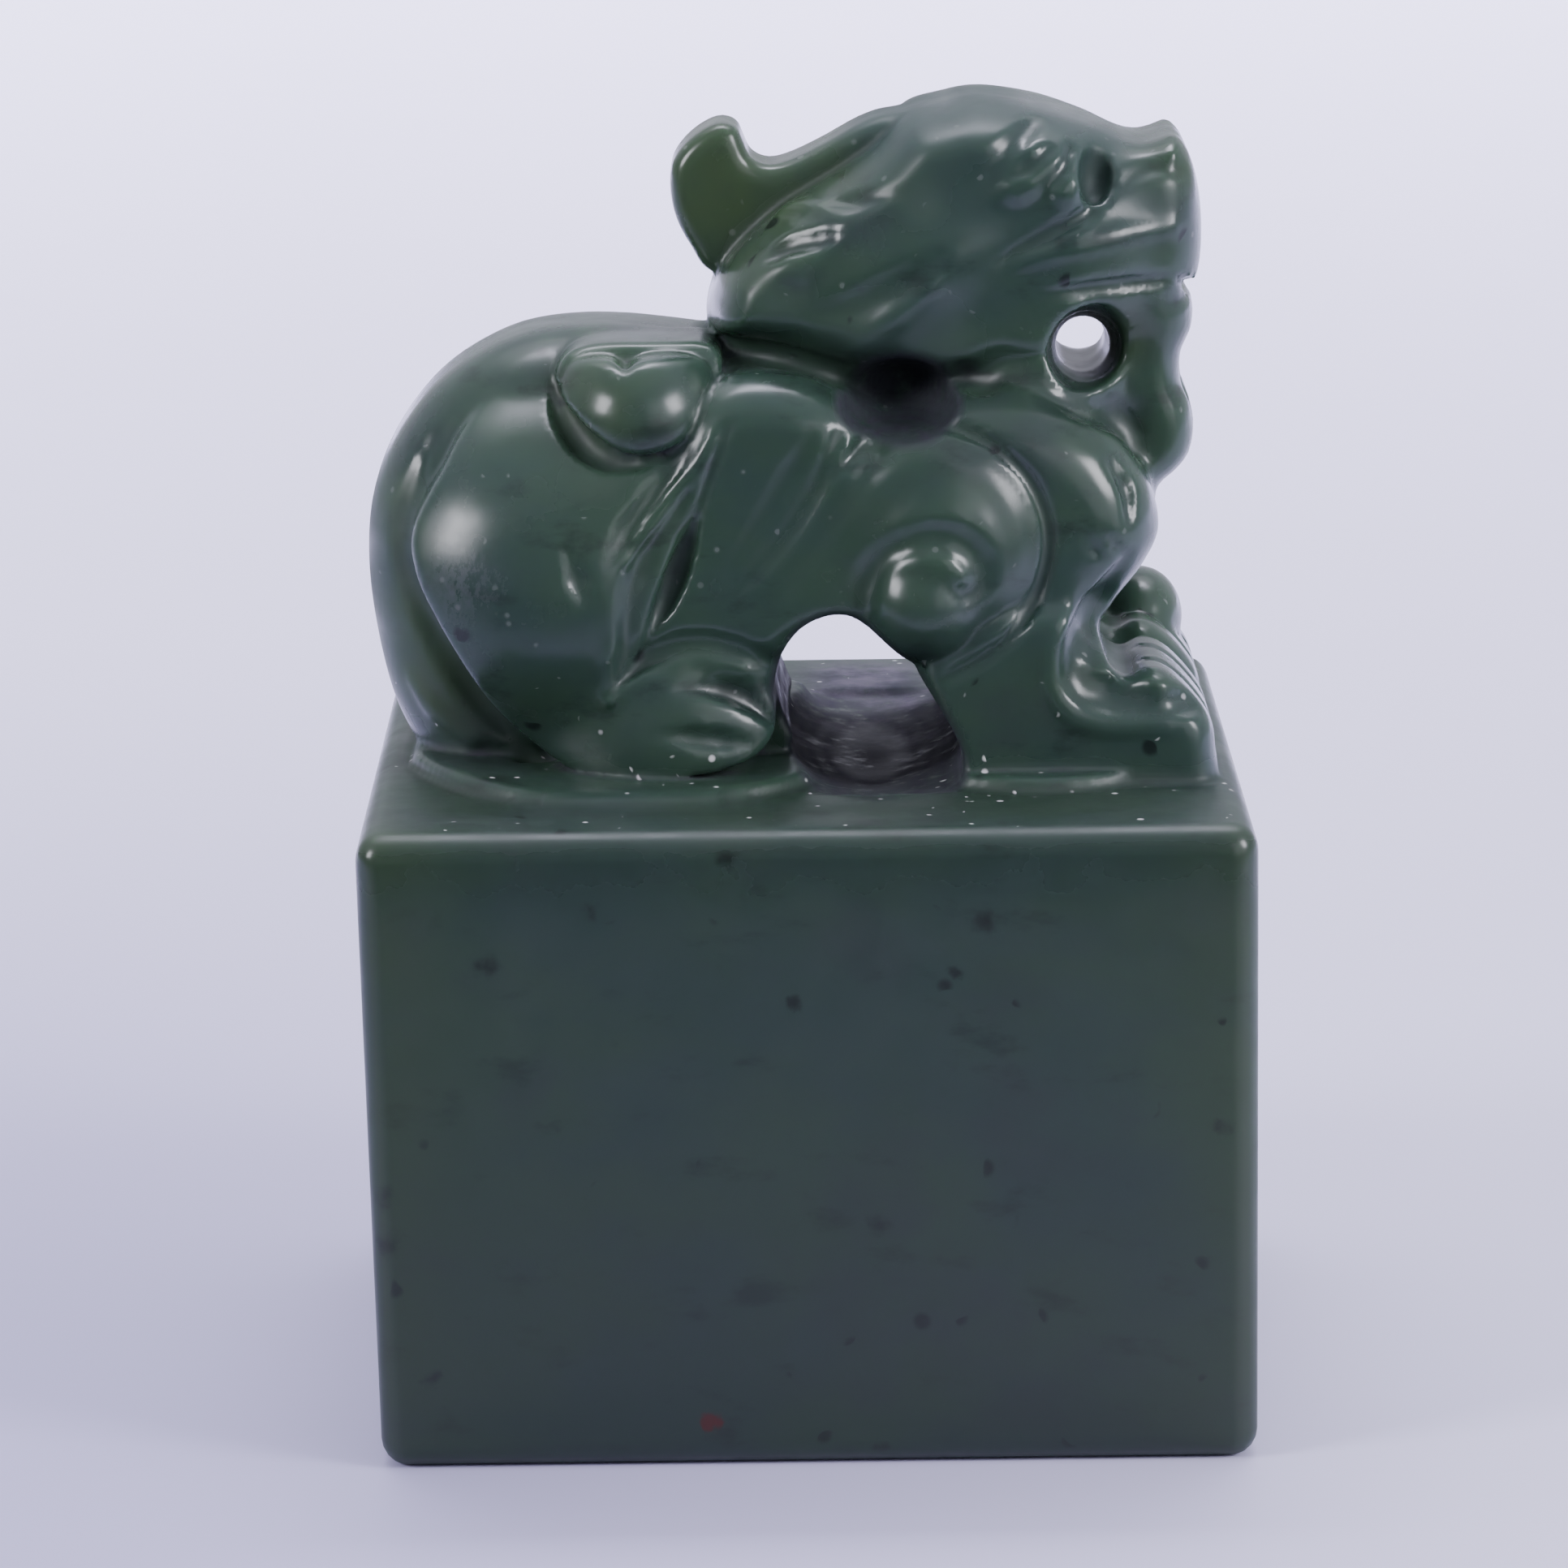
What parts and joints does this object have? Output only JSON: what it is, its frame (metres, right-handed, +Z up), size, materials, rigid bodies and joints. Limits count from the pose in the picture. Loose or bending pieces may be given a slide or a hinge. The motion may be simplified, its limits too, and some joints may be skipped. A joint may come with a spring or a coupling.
{
  "type": "seal stamp",
  "caption": "Square jade seal stamp with a crouching horned beast carved on top, drilled through under the belly for a cord.",
  "frame": {"origin": "middle of the flat seal face, under the block", "axes": "+X from the beast's rump to its nose, +Y across the block, +Z up from the seal face to the beast's crown"},
  "size_m": [0.035, 0.035, 0.052],
  "materials": {
    "jade": null
  },
  "bodies": {
    "root": {"jade_seal": "jade"}
  },
  "joints": []
}
